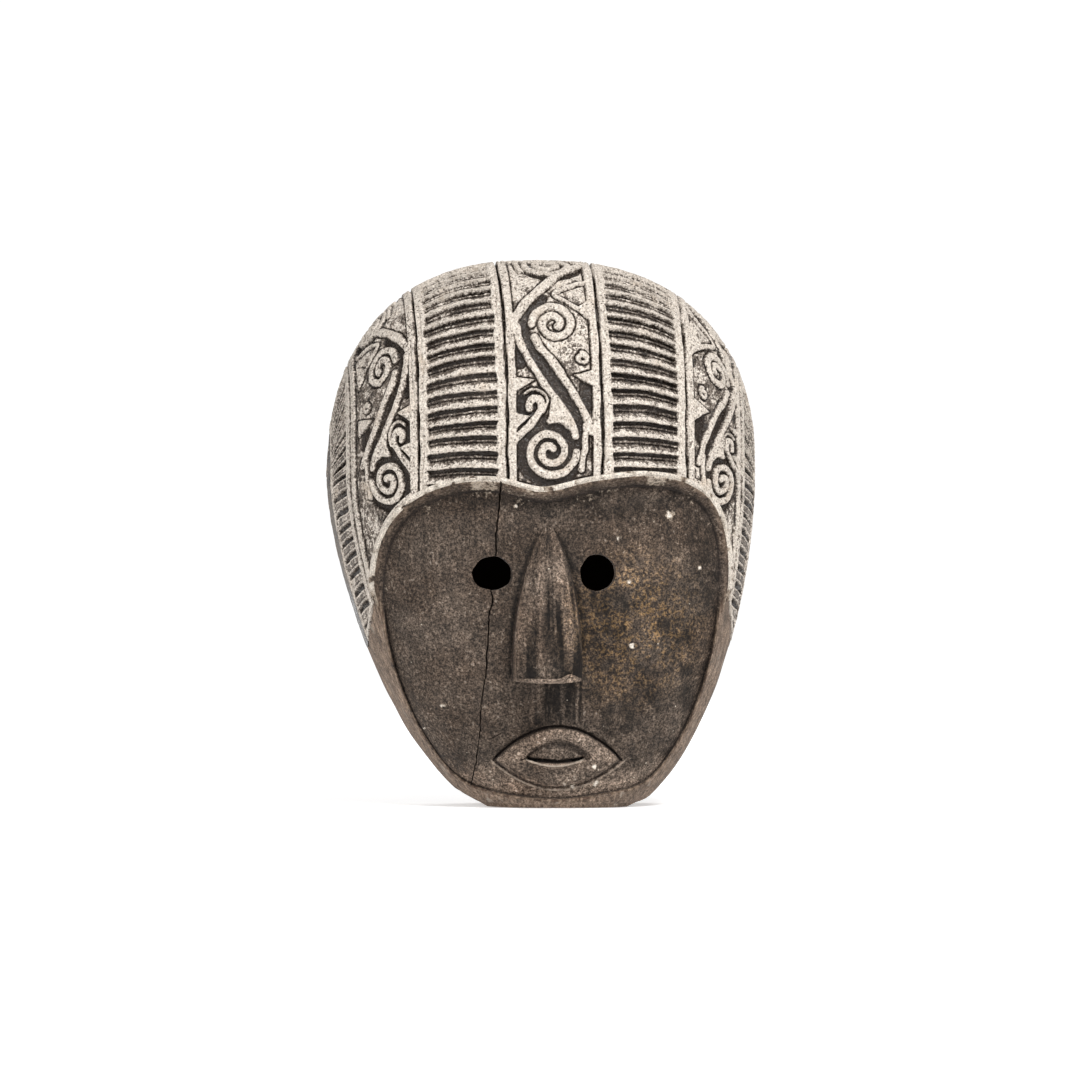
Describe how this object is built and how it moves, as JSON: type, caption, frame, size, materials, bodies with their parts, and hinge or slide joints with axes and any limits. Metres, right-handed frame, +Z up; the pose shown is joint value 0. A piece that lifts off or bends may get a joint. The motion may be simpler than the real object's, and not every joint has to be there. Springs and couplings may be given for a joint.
{
  "type": "carved wooden mask",
  "caption": "Hollow carved wooden face mask with a domed scroll-and-ladder cap, hung by a wire on two D-ring hangers let into the back rim.",
  "frame": {"origin": "on the flat foot under the chin, on the block's middle plane, 35 mm in front of the flat back of the rim", "axes": "+Z up, the face looks along -Y, +X is the viewer's right; the wall side of the rim is the plane y = 0.035 m"},
  "size_m": [0.254, 0.1212, 0.3192],
  "materials": {
    "wood": "dark weathered hardwood, whitewashed relief on the cap",
    "hanger_plate": "zinc plated, dulled",
    "screw": "yellow zinc plated",
    "wire": "twisted steel picture wire"
  },
  "bodies": {
    "mask": {"carved_mask": "wood", "left_hanger_strap": "hanger_plate", "right_hanger_strap": "hanger_plate", "left_lower_screw": "screw", "left_upper_screw": "screw", "right_lower_screw": "screw", "right_upper_screw": "screw"},
    "left_ring": {"left_hanger_ring": "hanger_plate"},
    "right_ring": {"right_hanger_ring": "hanger_plate"},
    "wire": {"hanging_wire": "wire"}
  },
  "joints": [
    {"name": "left_ring_hinge", "type": "hinge", "parent": "mask", "child": "left_ring", "pos_m": [-0.112, 0.0303, 0.205], "axis": [-1, 0, 0], "range_deg": [0, 110]},
    {"name": "right_ring_hinge", "type": "hinge", "parent": "mask", "child": "right_ring", "pos_m": [0.112, 0.0303, 0.205], "axis": [-1, 0, 0], "range_deg": [0, 110]},
    {"name": "wire_hinge", "type": "hinge", "parent": "left_ring", "child": "wire", "pos_m": [-0.112, 0.0303, 0.217], "axis": [-1, 0, 0], "range_deg": [0, 70]}
  ],
  "couplings": [
    {"joint": "right_ring_hinge", "follows": "left_ring_hinge", "ratio": 1}
  ]
}
